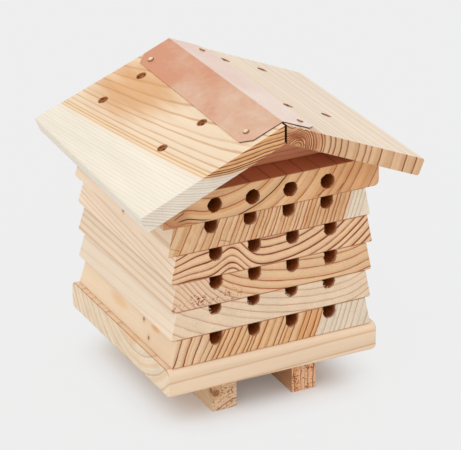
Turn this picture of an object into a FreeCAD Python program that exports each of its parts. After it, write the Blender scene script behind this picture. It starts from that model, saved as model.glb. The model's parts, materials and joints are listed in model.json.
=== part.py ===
import FreeCAD, Part
import os
from math import cos, radians, sin, tan

# Solitary bee house. Grooved nesting trays are stacked on a base board that stands on two bearers.
# A drilled top block carries two gable supports and a pitched board roof with a folded copper ridge cap.
# Each tray, and the roof with its block, lifts straight up off two wooden pegs for cleaning.
# Lengths are in millimetres. +Z is up and the nest holes open towards -Y.
# The origin lies on the ground under the middle of the roof.

# Bearers, which run from front to back
bearer_width = 18.0
bearer_height = 26.0
bearer_spacing = 59.2        # between the middles of the two bearers
bearer_setback = 13.8        # from the base board's front and back
bearer_arris = 0.8

# Base board, whose grain runs from side to side
base_thickness = 19.0
base_side_ledge = 3.3        # beyond the trays' feet
base_front_ledge = 2.3
base_back_ledge = 4.8
base_top_arris = 4.5
base_foot_arris = 1.5

# Nesting trays, from the lowest up
tray_count = 5
tray_height = 20.0
tray_depth = 146.8
tray_foot_width = 147.0
tray_top_width = 138.8       # narrower than the foot, so that each foot is a drip edge
tray_back_lean = 4.1         # the back end leans in as the sides do
tray_tip_arris = 1.2
tray_shifts = (0.0, 0.0, 0.3, 0.6, -1.2)             # sideways, as the trays were planed

# Channels cut in the trays' upper faces with a round-nosed cutter, and drilled holes in the top block
channel_count = 4
channel_width = 9.0
channel_pitch = 27.8
channel_depths = (9.0, 7.0, 9.0, 9.0, 9.0)
channel_row_shifts = (0.6, 0.0, 1.0, 1.0, -2.0)      # sideways, from the middle of the house
channel_back_wall = 14.0
drilled_hole_diameter = 10.0
drilled_hole_pitch = 27.1
drilled_row_shift = -0.8
drilled_hole_height = 10.5   # from the block's underside to the middle of the hole

# Pegs that keep the stack in line
peg_diameter = 6.0
peg_spacing = 55.6
peg_seat = 8.0               # glued into the piece below
peg_rise = 6.0               # standing up into the piece above
peg_chamfer = 1.0
socket_clearance = 0.3

# Top block
top_block_thickness = 21.0
top_block_side_ledge = 4.5   # beyond the trays' feet
top_block_front_ledge = 0.7
top_block_back_ledge = 0.5
top_block_left_arris = 0.8   # ripped square on the left
top_block_right_arris = 3.5

# Gable supports
gable_thickness = 35.0
gable_side_inset = 7.6       # from the top block's side to the gable's tip
gable_front_inset = 21.2     # behind the front of the top block

# Roof boards
roof_pitch = 23.2            # degrees
roof_thickness = 12.0
roof_side_overhang = 23.9    # beyond the top block
roof_front_overhang = 17.9
roof_back_overhang = 4.6
roof_eave_arris = 1.6
ridge_gap = 1.4              # between the mitred edges
left_board_taper = 4.6       # the left board is narrower at the back
left_board_end_skew = 6.0    # and its back end is sawn out of square

# Copper ridge cap
cap_thickness = 0.7
cap_wing = 28.2              # down the slope on each side
cap_skew = 1.1               # the left wing is wider at the front and the right one at the back
cap_front_setback = 4.3
cap_back_setback = 0.6
cap_corner_clip = 7.0
cap_fold_radius = 1.5

# Pins that hold the cap
pin_head_diameter = 4.8
pin_head_height = 1.3
pin_shank_diameter = 1.6
pin_length = 10.0
pin_point = 1.5
pin_side_inset = 7.6         # from the cap's lower edge
pin_front_inset = 13.2
pin_back_inset = 11.4

# Wood screws with sunk flat heads
screw_head_diameter = 6.4
screw_shank_diameter = 3.5
screw_point = 4.0
screw_sink = 1.2             # below the wood's surface
roof_screw_length = 25.0
roof_screw_insets = (42.7, 11.9)      # up the slope from the gables' tips
gable_screw_length = 30.0
gable_screw_spacing = 55.6
gable_screw_offset = 9.0     # inwards from the roof screws, so that the two never meet
bearer_screw_length = 36.0
bearer_screw_inset = 24.0    # from the bearers' ends

snug_gap = 0.1               # round every screw, pin and glued peg
cutter_overrun = 1.0         # cutters start this far outside the wood

ORIGIN = FreeCAD.Vector(0, 0, 0)
RIGHT = FreeCAD.Vector(1, 0, 0)
BACK = FreeCAD.Vector(0, 1, 0)
UP = FreeCAD.Vector(0, 0, 1)

# Heights of the stack
base_z = bearer_height
trays_z = base_z + base_thickness
top_block_z = trays_z + tray_count * tray_height
gables_z = top_block_z + top_block_thickness

# The base and the top block stand out beyond the trays, and the roof beyond the top block
base_width = tray_foot_width + 2 * base_side_ledge
base_depth = tray_depth + base_front_ledge + base_back_ledge
bearer_length = base_depth - 2 * bearer_setback
top_block_width = tray_foot_width + 2 * top_block_side_ledge
top_block_depth = tray_depth + top_block_front_ledge + top_block_back_ledge
roof_depth = top_block_depth + roof_front_overhang + roof_back_overhang

# The roof's lower faces lie on the gables and on the bevelled edges of the top block
pitch = radians(roof_pitch)
roof_run = (top_block_width / 2 + roof_side_overhang) / cos(pitch)
gable_half_width = top_block_width / 2 - gable_side_inset
gable_peak_z = gables_z + gable_half_width * tan(pitch)
ridge_z = gable_peak_z + roof_thickness / cos(pitch)
roof_screw_slopes = [gable_half_width / cos(pitch) - inset for inset in roof_screw_insets]

# Places from front to back
roof_front = -(roof_depth + left_board_end_skew) / 2
roof_back = roof_front + roof_depth
top_block_front = roof_front + roof_front_overhang
tray_front = top_block_front + top_block_front_ledge
base_front = tray_front - base_front_ledge
bearer_front = base_front + bearer_setback
front_gable_y = top_block_front + gable_front_inset
back_gable_y = top_block_front + top_block_depth - gable_thickness
roof_screw_rows = (front_gable_y + gable_thickness / 2, back_gable_y + gable_thickness / 2)
peg_y = tray_front + tray_depth / 2


def rounded_outline(corners, start, across):
    """Closed wire through (along, up, rounding) corners, in the upright plane at start along across."""
    points = [start + across * along + UP * up for along, up, rounding in corners]
    arcs = []
    ends = []
    for i, point in enumerate(points):
        before = (points[i - 1] - point).normalize()
        after = (points[(i + 1) % len(points)] - point).normalize()
        half_angle = before.getAngle(after) / 2
        rounding = corners[i][2]
        reach = rounding / tan(half_angle)
        first = point + before * reach
        last = point + after * reach
        ends.append((first, last))
        if rounding > 0:
            inward = (before + after).normalize()
            middle = point + inward * (rounding / sin(half_angle) - rounding)
            arcs.append(Part.Arc(first, middle, last).toShape())
        else:
            arcs.append(None)
    edges = []
    for i, arc in enumerate(arcs):
        if arc:
            edges.append(arc)
        line_start = ends[i][1]
        line_end = ends[(i + 1) % len(ends)][0]
        if line_start.distanceToPoint(line_end) > Part.Precision.confusion():
            edges.append(Part.makeLine(line_start, line_end))
    return Part.Wire(edges)


def bar_to_back(corners, y, length):
    """Bar with an (x, z, rounding) outline, from y towards the back."""
    return Part.Face(rounded_outline(corners, BACK * y, RIGHT)).extrude(BACK * length)


def bar_to_right(corners, x, length):
    """Bar with a (y, z, rounding) outline, from x towards the right."""
    return Part.Face(rounded_outline(corners, RIGHT * x, BACK)).extrude(RIGHT * length)


def turned(outline):
    """Solid turned about the Z axis from (radius, z, rounding) corners that start and end on the axis."""
    return Part.Face(rounded_outline(outline, ORIGIN, RIGHT)).revolve(ORIGIN, UP, 360)


def moved(shape, x, y, z):
    """Copy of a shape, moved."""
    copy = shape.copy()
    copy.translate(FreeCAD.Vector(x, y, z))
    return copy


def on_slope(shape, side):
    """Lays a shape made flat, with x running down from the ridge, on the right (1) or left (-1) slope."""
    laid = shape.copy()
    laid.rotate(ORIGIN, BACK, roof_pitch)
    laid.translate(UP * ridge_z)
    return laid if side > 0 else laid.mirror(ORIGIN, RIGHT)


def row(count, spacing, shift):
    """Sideways places of evenly spaced features."""
    return [shift + (i - (count - 1) / 2) * spacing for i in range(count)]


def screw(length):
    """Flat-headed wood screw pointing down, with the top of its head at the origin."""
    head = screw_head_diameter / 2
    shank = screw_shank_diameter / 2
    return turned([(0, 0, 0), (head, 0, 0), (shank, shank - head, 0), (shank, screw_point - length, 0),
                   (0, -length, 0)])


def screw_hole(length):
    """What a sunk screw takes out of the wood, with the top of the screw's head at the origin."""
    head = screw_head_diameter / 2 + snug_gap
    shank = screw_shank_diameter / 2 + snug_gap
    top_z = screw_sink + cutter_overrun
    return turned([(0, top_z, 0), (head, top_z, 0), (head, 0, 0), (shank, shank - head, 0),
                   (shank, -length, 0), (0, -length, 0)])


def upside_down(shape):
    """Copy of a shape, turned over about the X axis."""
    copy = shape.copy()
    copy.rotate(ORIGIN, RIGHT, 180)
    return copy


def pegs_at(z, radius, low, high):
    """The two upright cylinders of a pair of pegs, from low to high about the joint at height z."""
    return [Part.makeCylinder(radius, high - low, FreeCAD.Vector(x, peg_y, z + low))
            for x in row(2, peg_spacing, 0)]


def peg_pair(z):
    """Two pegs, sunk in the piece below the joint at height z and chamfered to lead into the one above."""
    pegs = []
    for plain in pegs_at(z, peg_diameter / 2, -peg_seat, peg_rise):
        lead = [edge for edge in plain.Edges if edge.isClosed() and edge.CenterOfMass.z > z]
        pegs.append(plain.makeChamfer(peg_chamfer, lead))
    return pegs


def peg_seats(z):
    """Glue holes below the joint at height z."""
    return pegs_at(z, peg_diameter / 2 + snug_gap, -peg_seat, cutter_overrun)


def peg_sockets(z):
    """Loose holes above the joint at height z."""
    return pegs_at(z, peg_diameter / 2 + socket_clearance, -cutter_overrun, peg_rise + socket_clearance)


def bearer(x):
    """One bearer with eased edges, its middle at x."""
    left = x - bearer_width / 2
    right = x + bearer_width / 2
    outline = [(left, 0, bearer_arris), (right, 0, bearer_arris),
               (right, bearer_height, 0), (left, bearer_height, 0)]
    return bar_to_back(outline, bearer_front, bearer_length)


def base_board():
    """Board with rounded long edges, lying across the bearers."""
    top = base_z + base_thickness
    back = base_front + base_depth
    outline = [(base_front, base_z, base_foot_arris), (back, base_z, base_foot_arris),
               (back, top, base_top_arris), (base_front, top, base_top_arris)]
    return bar_to_right(outline, -base_width / 2, base_width)


def channel(x, floor_z, top_z):
    """Round-bottomed channel from the tray's front to its round blind end."""
    half = channel_width / 2
    rim_z = top_z + cutter_overrun
    end_y = tray_front + tray_depth - channel_back_wall - half
    whole = [(x - half, floor_z, half), (x + half, floor_z, half), (x + half, rim_z, 0), (x - half, rim_z, 0)]
    start_y = tray_front - cutter_overrun
    groove = bar_to_back(whole, start_y, end_y - start_y)
    half_outline = [(0, floor_z, 0), (half, floor_z, half), (half, rim_z, 0), (0, rim_z, 0)]
    nose = Part.Face(rounded_outline(half_outline, ORIGIN, RIGHT)).revolve(ORIGIN, UP, 180)
    return [groove, moved(nose, x, end_y, 0)]


def tray(level):
    """Nesting tray with sloping sides and back, open channels above and peg holes in both faces."""
    foot_z = trays_z + level * tray_height
    top_z = foot_z + tray_height
    shift = tray_shifts[level % len(tray_shifts)]
    foot = tray_foot_width / 2
    top = tray_top_width / 2
    outline = [(shift - foot, foot_z, tray_tip_arris), (shift + foot, foot_z, tray_tip_arris),
               (shift + top, top_z, 0), (shift - top, top_z, 0)]
    back = tray_front + tray_depth
    side_view = [(tray_front, foot_z, 0), (back, foot_z, tray_tip_arris),
                 (back - tray_back_lean, top_z, 0), (tray_front, top_z, 0)]
    body = bar_to_back(outline, tray_front, tray_depth)
    body = body.common(bar_to_right(side_view, shift - foot, tray_foot_width))
    floor_z = top_z - channel_depths[level % len(channel_depths)]
    cuts = peg_sockets(foot_z) + peg_seats(top_z)
    for x in row(channel_count, channel_pitch, channel_row_shifts[level % len(channel_row_shifts)]):
        cuts += channel(x, floor_z, top_z)
    return body.cut(cuts)


def top_block():
    """Drilled block whose upper long edges are bevelled to the roof's pitch."""
    side = top_block_width / 2
    shoulder_z = gables_z - gable_side_inset * tan(pitch)
    outline = [(-side, top_block_z, top_block_left_arris), (side, top_block_z, top_block_right_arris),
               (side, shoulder_z, 0), (gable_half_width, gables_z, 0),
               (-gable_half_width, gables_z, 0), (-side, shoulder_z, 0)]
    body = bar_to_back(outline, top_block_front, top_block_depth)
    hole_z = top_block_z + drilled_hole_height
    hole_length = top_block_depth - channel_back_wall + cutter_overrun
    start_y = top_block_front - cutter_overrun
    starts = [FreeCAD.Vector(x, start_y, hole_z)
              for x in row(channel_count, drilled_hole_pitch, drilled_row_shift)]
    holes = [Part.makeCylinder(drilled_hole_diameter / 2, hole_length, start, BACK) for start in starts]
    return body.cut(holes + peg_sockets(top_block_z))


def gable_support(y):
    """Triangular support under the roof, from y towards the back."""
    outline = [(-gable_half_width, gables_z, 0), (gable_half_width, gables_z, 0), (0, gable_peak_z, 0)]
    return bar_to_back(outline, y, gable_thickness)


def roof_board(taper, end_skew):
    """Flat roof board with a mitred ridge edge, sawn to its plan and eased along the eave."""
    upper_edge = ridge_gap / 2 / cos(pitch)
    lower_edge = upper_edge + roof_thickness * tan(pitch)
    outline = [(upper_edge, 0, 0), (roof_run, 0, 0), (roof_run, -roof_thickness, 0),
               (lower_edge, -roof_thickness, 0)]
    plank = bar_to_back(outline, roof_front, roof_depth + end_skew)
    corners = [FreeCAD.Vector(*corner, 0) for corner in (
        (0, roof_front), (roof_run, roof_front), (roof_run - taper, roof_back + end_skew), (0, roof_back))]
    plan = Part.Face(Part.makePolygon(corners + corners[:1])).extrude(UP * -roof_thickness)
    board = plank.common(plan)
    long_edges = [edge for edge in board.Edges if edge.Length > roof_depth / 2]
    eave_edges = [edge for edge in long_edges if min(vertex.X for vertex in edge.Vertexes) > roof_run / 2]
    return board.makeFillet(roof_eave_arris, eave_edges)


def ridge_cap():
    """Thin sheet folded over the ridge a little out of true, with its corners clipped."""
    widest = cap_wing + cap_skew
    low = widest * sin(pitch)
    out = widest * cos(pitch)
    outer_low = low - cap_thickness * cos(pitch)
    outer_out = out + cap_thickness * sin(pitch)
    outline = [(0, ridge_z, 0), (out, ridge_z - low, 0), (outer_out, ridge_z - outer_low, 0),
               (0, ridge_z + cap_thickness / cos(pitch), cap_fold_radius),
               (-outer_out, ridge_z - outer_low, 0), (-out, ridge_z - low, 0)]
    front = roof_front + cap_front_setback
    back = roof_back - cap_back_setback
    sheet = bar_to_back(outline, front, back - front)
    wings = []
    for side in (1, -1):
        front_wing = cap_wing - side * cap_skew
        back_wing = cap_wing + side * cap_skew
        corners = [FreeCAD.Vector(x, y, -cutter_overrun) for x, y in (
            (-cutter_overrun, front), (front_wing - cap_corner_clip, front),
            (front_wing, front + cap_corner_clip), (back_wing, back - cap_corner_clip),
            (back_wing - cap_corner_clip, back), (-cutter_overrun, back))]
        plan = Part.Face(Part.makePolygon(corners + corners[:1]))
        wings.append(on_slope(plan.extrude(UP * (cap_thickness + 2 * cutter_overrun)), side))
    return sheet.common(wings[0].fuse(wings[1]))


def cap_pin():
    """Pin with a domed head, pointing down, with the underside of its head at the origin."""
    head = pin_head_diameter / 2
    shank = pin_shank_diameter / 2
    ball_radius = (head ** 2 + pin_head_height ** 2) / (2 * pin_head_height)
    ball = Part.makeSphere(ball_radius, UP * (pin_head_height - ball_radius))
    dome = ball.common(Part.makeCylinder(head, pin_head_height))
    outline = [(0, 0, 0), (shank, 0, 0), (shank, pin_point - pin_length, 0), (0, -pin_length, 0)]
    return dome.fuse(turned(outline))


def pin_hole():
    """What a pin's shank takes out of the cap and the board."""
    shank = pin_shank_diameter / 2 + snug_gap
    return Part.makeCylinder(shank, pin_length + cutter_overrun, UP * -pin_length)


def on_roof(shape, slopes, rows, height, side):
    """Copies of a small upright shape on one slope, at each distance down it and each row across it."""
    return [on_slope(moved(shape, slope, y, height), side) for slope in slopes for y in rows]


def save(name, solids):
    """Writes one node, which may hold several like solids."""
    Part.Compound(solids).exportStep(os.path.join("parts", name + ".step"))


os.makedirs("parts", exist_ok=True)

# Base on its bearers, screwed from above before the first tray goes on
bearer_xs = row(2, bearer_spacing, 0)
bearer_screw_rows = (bearer_front + bearer_screw_inset, bearer_front + bearer_length - bearer_screw_inset)
bearer_screw_places = [(x, y, trays_z - screw_sink) for x in bearer_xs for y in bearer_screw_rows]
bearer_holes = [moved(screw_hole(bearer_screw_length), *place) for place in bearer_screw_places]
save("bearer_left", [bearer(bearer_xs[0]).cut(bearer_holes)])
save("bearer_right", [bearer(bearer_xs[1]).cut(bearer_holes)])
save("base_board", [base_board().cut(bearer_holes + peg_seats(trays_z))])
save("bearer_screws", [moved(screw(bearer_screw_length), *place) for place in bearer_screw_places])
save("base_pegs", peg_pair(trays_z))

# Trays, each with the pegs that carry the piece above it
for level in range(tray_count):
    number = level + 1
    save(f"tray_{number}", [tray(level)])
    save(f"tray_{number}_pegs", peg_pair(trays_z + number * tray_height))

# Roof: boards and cap on each slope, with the holes of their screws and pins
cap_rows = (roof_front + cap_front_setback + pin_front_inset, roof_back - cap_back_setback - pin_back_inset)
pin_slopes = (cap_wing - pin_side_inset,)
board_shapes = {1: roof_board(0, 0), -1: roof_board(left_board_taper, left_board_end_skew)}
side_names = {1: "right", -1: "left"}
all_screw_holes = []
all_pin_holes = []
all_pins = []
for side, side_name in side_names.items():
    hole = screw_hole(roof_screw_length)
    screw_holes = on_roof(hole, roof_screw_slopes, roof_screw_rows, -screw_sink, side)
    pin_holes = on_roof(pin_hole(), pin_slopes, cap_rows, cap_thickness, side)
    save(f"roof_board_{side_name}", [on_slope(board_shapes[side], side).cut(screw_holes + pin_holes)])
    save(f"roof_screws_{side_name}",
         on_roof(screw(roof_screw_length), roof_screw_slopes, roof_screw_rows, -screw_sink, side))
    all_screw_holes += screw_holes
    all_pin_holes += pin_holes
    all_pins += on_roof(cap_pin(), pin_slopes, cap_rows, cap_thickness, side)
save("ridge_cap", [ridge_cap().cut(all_pin_holes)])
save("ridge_cap_pins", all_pins)

# Top block and gables, screwed together from below and held to the roof by the roof's own screws
gable_screw_rows = (roof_screw_rows[0] + gable_screw_offset, roof_screw_rows[1] - gable_screw_offset)
gable_screw_places = [(x, y, top_block_z + screw_sink)
                      for x in row(2, gable_screw_spacing, 0) for y in gable_screw_rows]
gable_holes = [moved(upside_down(screw_hole(gable_screw_length)), *place) for place in gable_screw_places]
save("top_block", [top_block().cut(gable_holes + all_screw_holes)])
save("gable_support_front", [gable_support(front_gable_y).cut(gable_holes + all_screw_holes)])
save("gable_support_back", [gable_support(back_gable_y).cut(gable_holes + all_screw_holes)])
save("gable_screws", [moved(upside_down(screw(gable_screw_length)), *place) for place in gable_screw_places])
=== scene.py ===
import json
from dataclasses import dataclass
from math import cos, hypot, pi, radians, sin
from random import Random

import bmesh
import bpy
from mathutils import Matrix, Vector, noise

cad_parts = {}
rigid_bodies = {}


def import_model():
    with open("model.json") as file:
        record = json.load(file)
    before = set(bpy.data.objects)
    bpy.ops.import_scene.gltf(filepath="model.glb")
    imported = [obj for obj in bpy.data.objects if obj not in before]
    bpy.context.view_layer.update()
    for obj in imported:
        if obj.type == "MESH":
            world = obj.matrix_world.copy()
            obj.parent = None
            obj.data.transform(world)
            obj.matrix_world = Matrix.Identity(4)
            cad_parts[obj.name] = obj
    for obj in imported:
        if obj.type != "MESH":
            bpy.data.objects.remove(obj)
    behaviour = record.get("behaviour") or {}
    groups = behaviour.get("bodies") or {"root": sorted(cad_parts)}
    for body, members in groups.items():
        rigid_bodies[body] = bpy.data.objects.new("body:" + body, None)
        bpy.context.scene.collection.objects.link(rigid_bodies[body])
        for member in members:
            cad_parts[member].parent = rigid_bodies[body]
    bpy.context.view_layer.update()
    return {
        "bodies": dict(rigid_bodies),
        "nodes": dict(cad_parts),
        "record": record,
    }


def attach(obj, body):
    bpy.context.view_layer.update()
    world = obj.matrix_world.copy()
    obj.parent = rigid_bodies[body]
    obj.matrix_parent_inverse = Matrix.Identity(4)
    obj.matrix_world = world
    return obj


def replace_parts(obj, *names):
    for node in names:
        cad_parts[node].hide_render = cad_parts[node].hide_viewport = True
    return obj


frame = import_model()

# Solitary bee house: looks of its pine boards, copper ridge cap, brass pins and screws.
# The scene is in metres. Sizes of wood figure and of small details are in millimetres.
MM = 0.001
RIGHT = Vector((1, 0, 0))
BACK = Vector((0, 1, 0))
UP = Vector((0, 0, 1))


def rgb(red, green, blue):
    """Colour with full cover, from linear shares of red, green and blue."""
    return (red, green, blue, 1.0)


# Camera at the photograph's angle, in degrees and metres
camera_turn = -26.51  # from straight in front, towards its left
camera_rise = 24.62
camera_roll = -0.40
camera_distance = 1.9058
camera_aim = Vector((0.00055, -0.00815, 0.10735))
camera_lens = 223.8
camera_sensor = 36  # width that goes with the lens

# Studio, in metres and degrees
floor_reach = 12.0
floor_tone = rgb(0.855, 0.855, 0.855)
veil_near = 0.1  # share of the floor seen without shadow, at the house
veil_far = 0.96  # and away from it
shadow_core = 0.045  # from the middle to where it starts to fade
shadow_fade = 0.052
horizon_glow = 0.24
overhead_glow = 1.26
mirror_horizon = 0.93  # what the metal mirrors instead
mirror_overhead = 0.66
key_turn = -44.0  # as the camera's turn
key_rise = 34.0
key_spread = 70.0
key_strength = 0.9

# Roof slopes, for the boards' own directions
roof_pitch = radians(23.2)
ridge_height = 209.23
left_slope = Vector((-cos(roof_pitch), 0, -sin(roof_pitch)))
right_slope = Vector((cos(roof_pitch), 0, -sin(roof_pitch)))
left_face = Vector((-sin(roof_pitch), 0, cos(roof_pitch)))
right_face = Vector((sin(roof_pitch), 0, cos(roof_pitch)))
roof_fixings = {"roof_board_left": ("roof_screws_left", left_face),
                "roof_board_right": ("roof_screws_right", right_face)}

# Shapes
merge_reach = 0.002  # points nearer than this are one
flat_turn = radians(1)  # faces that turn less than this are one
eased_turn = radians(35)  # edges that turn more than this are eased
edge_ease = 0.45
edge_steps = 2
wood_crease = radians(12)  # edges that turn more than this are shaded sharp
pin_crease = radians(40)
sheet_crease = radians(30)
seam_tilt = 0.3  # eased faces that look up or down more than this are seams, which get painted shade
base_end_round = 3.2  # radius under the base board's right end
base_end_steps = 4
joint_reach = 8.0  # from the ridge, to where the boards' joint gets painted shade
joint_tilt = 0.6  # faces that look sideways more than this are in the joint

# Channels and holes
channel_walls = (0.7, 2.24, 0.15)  # beside, below and above the free room in the record
hole_walls = (1.614, 1.614, 1.614)
wall_spare = Vector((0.7, 0.2, 0.7)) * MM
front_tilt = -0.97  # faces that look forwards more than this are the piece's front
rim_edges = (1.5, 12.0)  # lengths of a mouth's upright edges
rim_cuts = 2  # points added to each of them
level_reach = 0.1  # how exactly they are upright and at the front
mouth_chip = 0.65  # how far a rim is chipped away
torn_chips = {"tray_3_channel_1": 1.1, "tray_3_channel_4": 1.3}
chip_reach = 1.2  # how far from the rim points are moved
chip_sizes = (1.6, 0.7)  # of large and small bites
chip_least = 0.35  # share that is bitten off all round
mouth_depth = 2.5  # how far in from the front the brown is lightened, as painted light on the lips
mouth_pale = 0.45  # share of it taken off right at the rim, as painted light
burn_and_shade_depth = 22.0  # how far in the sides are browned, by scorch and painted shade
burn_and_shade_end = 52.0  # and how far in the brown has faded
burn_and_shade_left = 0.3  # share of it left there
screw_hole = 3.7  # radius round a sunk screw that is browned, by scorch and painted shade
screw_hole_brown = 0.65

# Splinters in a channel's mouth
splinter_seed = 5
splinters_each = 5
splinter_start = 160  # degrees round the mouth
splinter_sweep = 100
splinter_root = (0.35, 0.9)  # how far in from the front
splinter_length = (1.2, 2.8)
splinter_lean = (-0.3, 0.9)  # of the tip, round the rim
splinter_tip = (-0.4, 0.2)  # how far the tip stands back from the root
splinter_half = (0.3, 0.5)  # half width
splinter_thick = 0.3  # half thickness
splinter_sunk = 0.25  # how far the root is in the wood
# share of the bores' scorch and painted shade on the splinters
splinter_brown = 0.4

# Fixings: radii, and depths from the top of the head
turned_steps = 24
top_reach = 0.01  # points this near to a fixing's highest are its top
screw_head = 3.15
screw_shank = 1.7
screw_point = 4.0  # length
screw_bare = 6.0  # depth to where the thread ends
screw_neck = (0.8, 4.5)  # share of the shank, and depth
thread_pitch = 1.6
thread_root = 0.7  # share of the shank
thread_crest = (0.3, 0.6)  # share of the pitch to the crest, and to the next root
cross_arm = 1.75  # of the recess that takes the driver
cross_half_width = 0.45
cross_foot = (0.6, 1.1)  # share of its size, and depth
cross_tip = 1.4
pin_shank = 0.8
pin_point = 1.5  # length
pin_head = 2.35
pin_underside = 1.3
pin_crown = ((2.35, 1.1), (2.05, 0.8), (1.7, 0.48), (1.25, 0.2), (0.7, 0.03), (0, 0))
pin_painted_shade = (0.5, 2.4)  # share of the radius where painted shade starts, and how fast it darkens

# Copper sheet
sheet_cuts = range(-84, 88, 7)  # places along the ridge where it can bend
wing_cuts = range(4, 28, 4)  # and down each wing
sheet_flat = 0.7  # faces less flat than this are its sheared edges, which get painted shade
sheet_swell = 0.32  # how far it stands off where it has buckled most
swell_sizes = (30, 24)  # of the buckles, down the wing and along the ridge
swell_shift = 9  # so that the wings differ
swell_start = 4  # down the wing
swell_rise = 10
pin_hold = 9  # how far round a pin the sheet is held down

# Wood figure: sizes across, through and along the grain
slow_waver = (16, 16, 110)  # of the rings
quick_waver = (4, 4, 40)
patch_size = (6, 6, 50)  # of stronger and weaker lines
shade_size = (14, 14, 120)
fibre_size = (0.7, 0.7, 26)
pore_size = (0.55, 0.55, 0.9)
torn_size = (1.4, 1.1, 8)
end_tilt = (0.45, 0.85)  # how far sides, and ends, look along the grain
line_start = 0.8  # share of a year's growth before its dark line
year_end = 0.94  # and before the next year starts
sap_blend = 1.5  # half width of the change to sapwood
red_year = rgb(0.90, 0.74, 0.56)
knot_glow = rgb(0.66, 0.36, 0.15)
knot_core = rgb(0.20, 0.075, 0.03)
torn_pore = rgb(0.28, 0.075, 0.03)
deep_crack = rgb(0.06, 0.02, 0.01)
fine_crack = rgb(0.14, 0.045, 0.02)
# browned wood in bores: scorch, made darker as painted shade inside the recess
burn_and_shade_dark = rgb(0.145, 0.026, 0.003)
burn_and_shade_light = rgb(0.43, 0.11, 0.018)


class Tone:
    """A value that varies over a surface. Sums and products of tones add the nodes for them."""

    def __init__(self, finish, socket):
        self.finish = finish
        self.socket = socket

    def __add__(self, other):
        return self.finish.math("ADD", self, other)

    def __sub__(self, other):
        return self.finish.math("SUBTRACT", self, other)

    def __rsub__(self, other):
        return self.finish.math("SUBTRACT", other, self)

    def __mul__(self, other):
        return self.finish.math("MULTIPLY", self, other)

    def __truediv__(self, other):
        return self.finish.math("DIVIDE", self, other)

    def __abs__(self):
        return self.finish.math("ABSOLUTE", self)

    __radd__ = __add__
    __rmul__ = __mul__


class Finish:
    """The nodes of one material, or of the studio's surroundings."""

    def __init__(self, owner):
        owner.use_nodes = True
        self.tree = owner.node_tree
        self.tree.nodes.clear()

    def node(self, kind, settings, sockets, output=0):
        """Adds a node with its settings and sockets, and gives one output."""
        made = self.tree.nodes.new("ShaderNode" + kind)
        for key, value in settings.items():
            setattr(made, key, value)
        for key, value in sockets.items():
            if isinstance(value, Tone):
                self.tree.links.new(value.socket, made.inputs[key])
            else:
                made.inputs[key].default_value = value
        return Tone(self, made.outputs[output]) if made.outputs else None

    def math(self, operation, first, second=0.0):
        """One sum, product or function of values."""
        return self.node("Math", {"operation": operation}, {0: first, 1: second})

    def mix(self, share, first, second, blend="MIX"):
        """Colour from the first to the second, as the share goes from 0 to 1."""
        settings = {"data_type": "RGBA", "blend_type": blend}
        return self.node("Mix", settings, {0: share, 6: first, 7: second}, 2)

    def rise(self, value, low, high, kind="SMOOTHSTEP"):
        """0 below low, 1 above high, and a smooth rise between them."""
        return self.node("MapRange", {"interpolation_type": kind}, {0: value, 1: low, 2: high})

    def fall(self, value, low, high):
        """1 below low, 0 above high, and a smooth fall between them."""
        return 1 - self.rise(value, low, high)

    def between(self, value, start, full, fading, stop):
        """1 from full to fading, 0 outside start and stop, and smooth between them."""
        return self.rise(value, start, full) * self.fall(value, fading, stop)

    def dot(self, first, second):
        """How far the first vector reaches along the second."""
        return self.node("VectorMath", {"operation": "DOT_PRODUCT"}, {0: first, 1: second}, 1)

    def clouds(self, place, size, detail=2.0):
        """Soft lumps about 0.5, of a given size along each direction of the place."""
        spot = self.node("VectorMath", {"operation": "DIVIDE"}, {0: place, 1: size})
        return self.node("TexNoise", {}, {"Vector": spot, "Scale": 1.0, "Detail": detail})

    def waves(self, value):
        """Soft lumps about 0.5 as one value grows."""
        return self.node("TexNoise", {"noise_dimensions": "1D"}, {"W": value, "Scale": 1.0})

    def off(self, place, middle, half):
        """Distance of the place from a middle, in half sizes along each direction."""
        away = self.node("VectorMath", {"operation": "SUBTRACT"}, {0: place, 1: middle})
        away = self.node("VectorMath", {"operation": "DIVIDE"}, {0: away, 1: half})
        return self.node("VectorMath", {"operation": "LENGTH"}, {0: away}, 1)

    def mark(self, name):
        """A value marked on the mesh."""
        return self.node("Attribute", {"attribute_name": name}, {}, "Fac")

    def surface(self, sockets):
        """Ends the material in one shader with these sockets."""
        shader = self.node("BsdfPrincipled", {}, sockets)
        self.node("OutputMaterial", {}, {0: shader})


class Coat(Finish):
    """A new material, and the place on the piece that it covers."""

    def __init__(self, name):
        self.material = bpy.data.materials.new(name)
        super().__init__(self.material)
        self.spot = self.node("TexCoord", {}, {}, "Object")


# Directions across, through and along the grain of a piece
along_back = (RIGHT, UP, BACK)
along_right = (BACK, UP, RIGHT)
along_up = (RIGHT, BACK, UP)
along_left_roof = (left_slope, left_face, BACK)
along_right_roof = (right_slope, right_face, BACK)


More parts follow.
